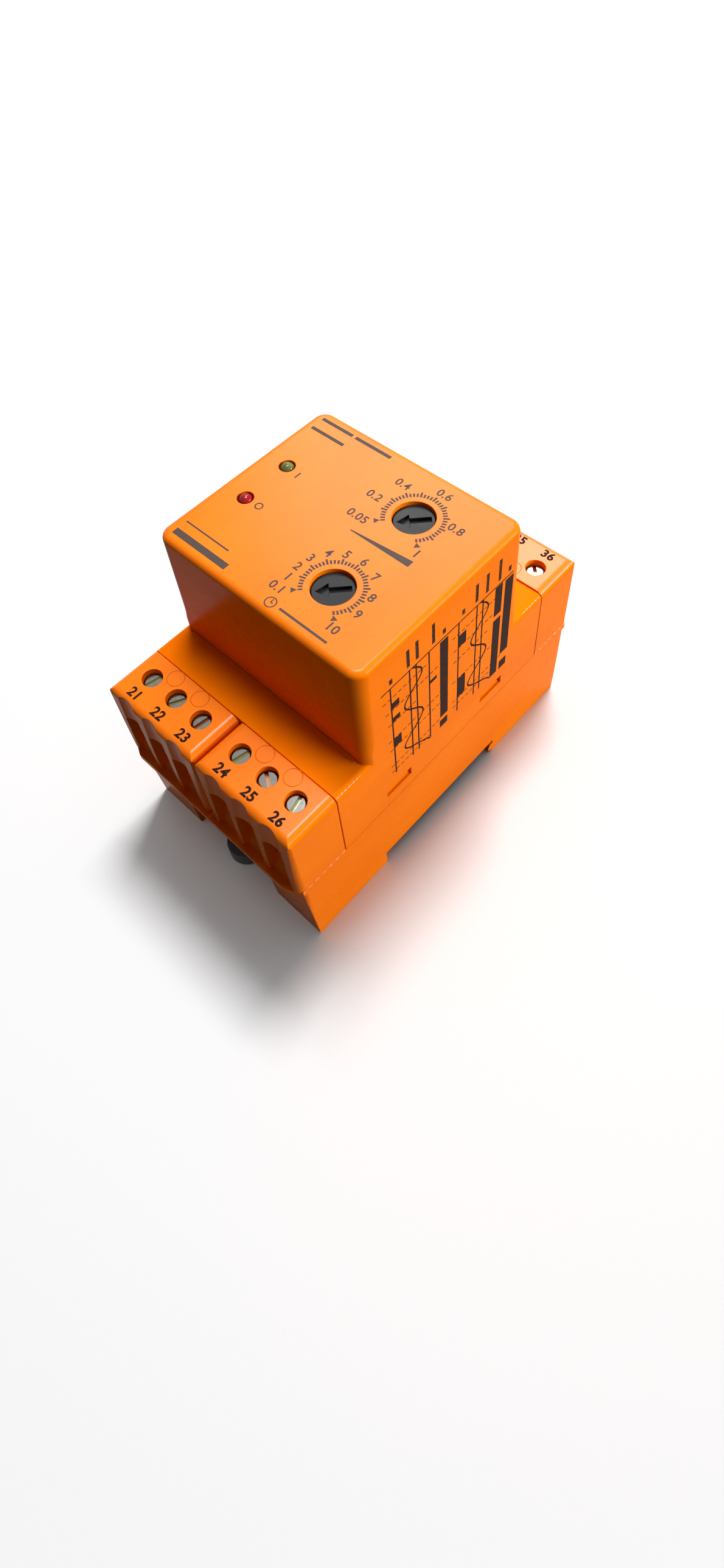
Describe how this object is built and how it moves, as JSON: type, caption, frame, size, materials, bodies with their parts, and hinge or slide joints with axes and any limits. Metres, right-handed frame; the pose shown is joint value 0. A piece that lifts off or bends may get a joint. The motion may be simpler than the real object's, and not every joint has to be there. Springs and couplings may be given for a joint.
{
  "type": "protection relay",
  "caption": "Rail-mounted earth-fault protection relay in an orange stepped case, with screw terminals along both ends, setting dials and lamps on its face",
  "frame": {"origin": "under the middle of the case, in the plane of the feet", "axes": "+X across the case (along the rail), +Y along the case towards the upper terminals, +Z out of the face"},
  "size_m": [0.0524, 0.09, 0.0756],
  "materials": {
    "case": "moulded, fine sheen",
    "screw": "zinc plated",
    "cage": "zinc plated",
    "bar": "tinned brass",
    "clip": "moulded nylon",
    "board": "solder resist",
    "relay_case": "moulded",
    "potting": "moulded",
    "can": "sleeved can",
    "pot": "moulded",
    "knob": "moulded",
    "lens_green": "tinted clear",
    "lens_red": "tinted clear"
  },
  "bodies": {
    "housing": {"base": "case", "front_shell": "case", "lower_right_cover": "case", "lower_left_cover": "case", "upper_left_cover": "case", "upper_right_cover": "case", "lower_right_bar_1": "bar", "lower_right_bar_2": "bar", "lower_right_bar_3": "bar", "lower_left_bar_1": "bar", "lower_left_bar_2": "bar", "lower_left_bar_3": "bar", "upper_left_bar_1": "bar", "upper_left_bar_2": "bar", "upper_left_bar_3": "bar", "upper_right_bar_1": "bar", "upper_right_bar_2": "bar", "upper_right_bar_3": "bar", "main_board": "board", "front_board": "board", "output_relay": "relay_case", "supply_transformer": "potting", "smoothing_capacitor": "can", "control_chip": "potting", "board_header": "potting", "level_pot": "pot", "delay_pot": "pot", "green_lamp": "lens_green", "red_lamp": "lens_red"},
    "lower_right_screw_1_body": {"lower_right_screw_1": "screw"},
    "lower_right_cage_1_body": {"lower_right_cage_1": "cage"},
    "lower_right_screw_2_body": {"lower_right_screw_2": "screw"},
    "lower_right_cage_2_body": {"lower_right_cage_2": "cage"},
    "lower_right_screw_3_body": {"lower_right_screw_3": "screw"},
    "lower_right_cage_3_body": {"lower_right_cage_3": "cage"},
    "lower_left_screw_1_body": {"lower_left_screw_1": "screw"},
    "lower_left_cage_1_body": {"lower_left_cage_1": "cage"},
    "lower_left_screw_2_body": {"lower_left_screw_2": "screw"},
    "lower_left_cage_2_body": {"lower_left_cage_2": "cage"},
    "lower_left_screw_3_body": {"lower_left_screw_3": "screw"},
    "lower_left_cage_3_body": {"lower_left_cage_3": "cage"},
    "upper_left_screw_1_body": {"upper_left_screw_1": "screw"},
    "upper_left_cage_1_body": {"upper_left_cage_1": "cage"},
    "upper_left_screw_2_body": {"upper_left_screw_2": "screw"},
    "upper_left_cage_2_body": {"upper_left_cage_2": "cage"},
    "upper_left_screw_3_body": {"upper_left_screw_3": "screw"},
    "upper_left_cage_3_body": {"upper_left_cage_3": "cage"},
    "upper_right_screw_1_body": {"upper_right_screw_1": "screw"},
    "upper_right_cage_1_body": {"upper_right_cage_1": "cage"},
    "upper_right_screw_2_body": {"upper_right_screw_2": "screw"},
    "upper_right_cage_2_body": {"upper_right_cage_2": "cage"},
    "upper_right_screw_3_body": {"upper_right_screw_3": "screw"},
    "upper_right_cage_3_body": {"upper_right_cage_3": "cage"},
    "rail_clip_lower_body": {"rail_clip_lower": "clip"},
    "rail_clip_upper_body": {"rail_clip_upper": "clip"},
    "level_knob_body": {"level_knob": "knob"},
    "delay_knob_body": {"delay_knob": "knob"}
  },
  "joints": [
    {"name": "lower_right_screw_1_turn", "type": "hinge", "parent": "housing", "child": "lower_right_screw_1_body", "pos_m": [0.00569, -0.0363, 0.037], "axis": [0, 0, 1], "range_deg": [-2160, 0]},
    {"name": "lower_right_cage_1_lift", "type": "slide", "parent": "housing", "child": "lower_right_cage_1_body", "axis": [0, 0, 1], "range_m": [0, 0.003]},
    {"name": "lower_right_screw_2_turn", "type": "hinge", "parent": "housing", "child": "lower_right_screw_2_body", "pos_m": [0.01319, -0.0363, 0.037], "axis": [0, 0, 1], "range_deg": [-2160, 0]},
    {"name": "lower_right_cage_2_lift", "type": "slide", "parent": "housing", "child": "lower_right_cage_2_body", "axis": [0, 0, 1], "range_m": [0, 0.003]},
    {"name": "lower_right_screw_3_turn", "type": "hinge", "parent": "housing", "child": "lower_right_screw_3_body", "pos_m": [0.02069, -0.0363, 0.037], "axis": [0, 0, 1], "range_deg": [-2160, 0]},
    {"name": "lower_right_cage_3_lift", "type": "slide", "parent": "housing", "child": "lower_right_cage_3_body", "axis": [0, 0, 1], "range_m": [0, 0.003]},
    {"name": "lower_left_screw_1_turn", "type": "hinge", "parent": "housing", "child": "lower_left_screw_1_body", "pos_m": [-0.02069, -0.0363, 0.037], "axis": [0, 0, 1], "range_deg": [-2160, 0]},
    {"name": "lower_left_cage_1_lift", "type": "slide", "parent": "housing", "child": "lower_left_cage_1_body", "axis": [0, 0, 1], "range_m": [0, 0.003]},
    {"name": "lower_left_screw_2_turn", "type": "hinge", "parent": "housing", "child": "lower_left_screw_2_body", "pos_m": [-0.01319, -0.0363, 0.037], "axis": [0, 0, 1], "range_deg": [-2160, 0]},
    {"name": "lower_left_cage_2_lift", "type": "slide", "parent": "housing", "child": "lower_left_cage_2_body", "axis": [0, 0, 1], "range_m": [0, 0.003]},
    {"name": "lower_left_screw_3_turn", "type": "hinge", "parent": "housing", "child": "lower_left_screw_3_body", "pos_m": [-0.00569, -0.0363, 0.037], "axis": [0, 0, 1], "range_deg": [-2160, 0]},
    {"name": "lower_left_cage_3_lift", "type": "slide", "parent": "housing", "child": "lower_left_cage_3_body", "axis": [0, 0, 1], "range_m": [0, 0.003]},
    {"name": "upper_left_screw_1_turn", "type": "hinge", "parent": "housing", "child": "upper_left_screw_1_body", "pos_m": [-0.00569, 0.0363, 0.037], "axis": [0, 0, 1], "range_deg": [-2160, 0]},
    {"name": "upper_left_cage_1_lift", "type": "slide", "parent": "housing", "child": "upper_left_cage_1_body", "axis": [0, 0, 1], "range_m": [0, 0.003]},
    {"name": "upper_left_screw_2_turn", "type": "hinge", "parent": "housing", "child": "upper_left_screw_2_body", "pos_m": [-0.01319, 0.0363, 0.037], "axis": [0, 0, 1], "range_deg": [-2160, 0]},
    {"name": "upper_left_cage_2_lift", "type": "slide", "parent": "housing", "child": "upper_left_cage_2_body", "axis": [0, 0, 1], "range_m": [0, 0.003]},
    {"name": "upper_left_screw_3_turn", "type": "hinge", "parent": "housing", "child": "upper_left_screw_3_body", "pos_m": [-0.02069, 0.0363, 0.037], "axis": [0, 0, 1], "range_deg": [-2160, 0]},
    {"name": "upper_left_cage_3_lift", "type": "slide", "parent": "housing", "child": "upper_left_cage_3_body", "axis": [0, 0, 1], "range_m": [0, 0.003]},
    {"name": "upper_right_screw_1_turn", "type": "hinge", "parent": "housing", "child": "upper_right_screw_1_body", "pos_m": [0.02069, 0.0363, 0.037], "axis": [0, 0, 1], "range_deg": [-2160, 0]},
    {"name": "upper_right_cage_1_lift", "type": "slide", "parent": "housing", "child": "upper_right_cage_1_body", "axis": [0, 0, 1], "range_m": [0, 0.003]},
    {"name": "upper_right_screw_2_turn", "type": "hinge", "parent": "housing", "child": "upper_right_screw_2_body", "pos_m": [0.01319, 0.0363, 0.037], "axis": [0, 0, 1], "range_deg": [-2160, 0]},
    {"name": "upper_right_cage_2_lift", "type": "slide", "parent": "housing", "child": "upper_right_cage_2_body", "axis": [0, 0, 1], "range_m": [0, 0.003]},
    {"name": "upper_right_screw_3_turn", "type": "hinge", "parent": "housing", "child": "upper_right_screw_3_body", "pos_m": [0.00569, 0.0363, 0.037], "axis": [0, 0, 1], "range_deg": [-2160, 0]},
    {"name": "upper_right_cage_3_lift", "type": "slide", "parent": "housing", "child": "upper_right_cage_3_body", "axis": [0, 0, 1], "range_m": [0, 0.003]},
    {"name": "rail_clip_lower_slide", "type": "slide", "parent": "housing", "child": "rail_clip_lower_body", "axis": [0, -1, 0], "range_m": [0, 0.01]},
    {"name": "rail_clip_upper_slide", "type": "slide", "parent": "housing", "child": "rail_clip_upper_body", "axis": [0, 1, 0], "range_m": [0, 0.01]},
    {"name": "level_knob_turn", "type": "hinge", "parent": "housing", "child": "level_knob_body", "pos_m": [0.009, 0.0108, 0.0727], "axis": [0, 0, 1], "range_deg": [-270, 0]},
    {"name": "delay_knob_turn", "type": "hinge", "parent": "housing", "child": "delay_knob_body", "pos_m": [0.009, -0.0108, 0.0727], "axis": [0, 0, 1], "range_deg": [-270, 0]}
  ],
  "couplings": [
    {"joint": "lower_right_screw_1_turn", "follows": "lower_right_cage_1_lift", "rad_per_m": -12566},
    {"joint": "lower_right_screw_2_turn", "follows": "lower_right_cage_2_lift", "rad_per_m": -12566},
    {"joint": "lower_right_screw_3_turn", "follows": "lower_right_cage_3_lift", "rad_per_m": -12566},
    {"joint": "lower_left_screw_1_turn", "follows": "lower_left_cage_1_lift", "rad_per_m": -12566},
    {"joint": "lower_left_screw_2_turn", "follows": "lower_left_cage_2_lift", "rad_per_m": -12566},
    {"joint": "lower_left_screw_3_turn", "follows": "lower_left_cage_3_lift", "rad_per_m": -12566},
    {"joint": "upper_left_screw_1_turn", "follows": "upper_left_cage_1_lift", "rad_per_m": -12566},
    {"joint": "upper_left_screw_2_turn", "follows": "upper_left_cage_2_lift", "rad_per_m": -12566},
    {"joint": "upper_left_screw_3_turn", "follows": "upper_left_cage_3_lift", "rad_per_m": -12566},
    {"joint": "upper_right_screw_1_turn", "follows": "upper_right_cage_1_lift", "rad_per_m": -12566},
    {"joint": "upper_right_screw_2_turn", "follows": "upper_right_cage_2_lift", "rad_per_m": -12566},
    {"joint": "upper_right_screw_3_turn", "follows": "upper_right_cage_3_lift", "rad_per_m": -12566}
  ]
}
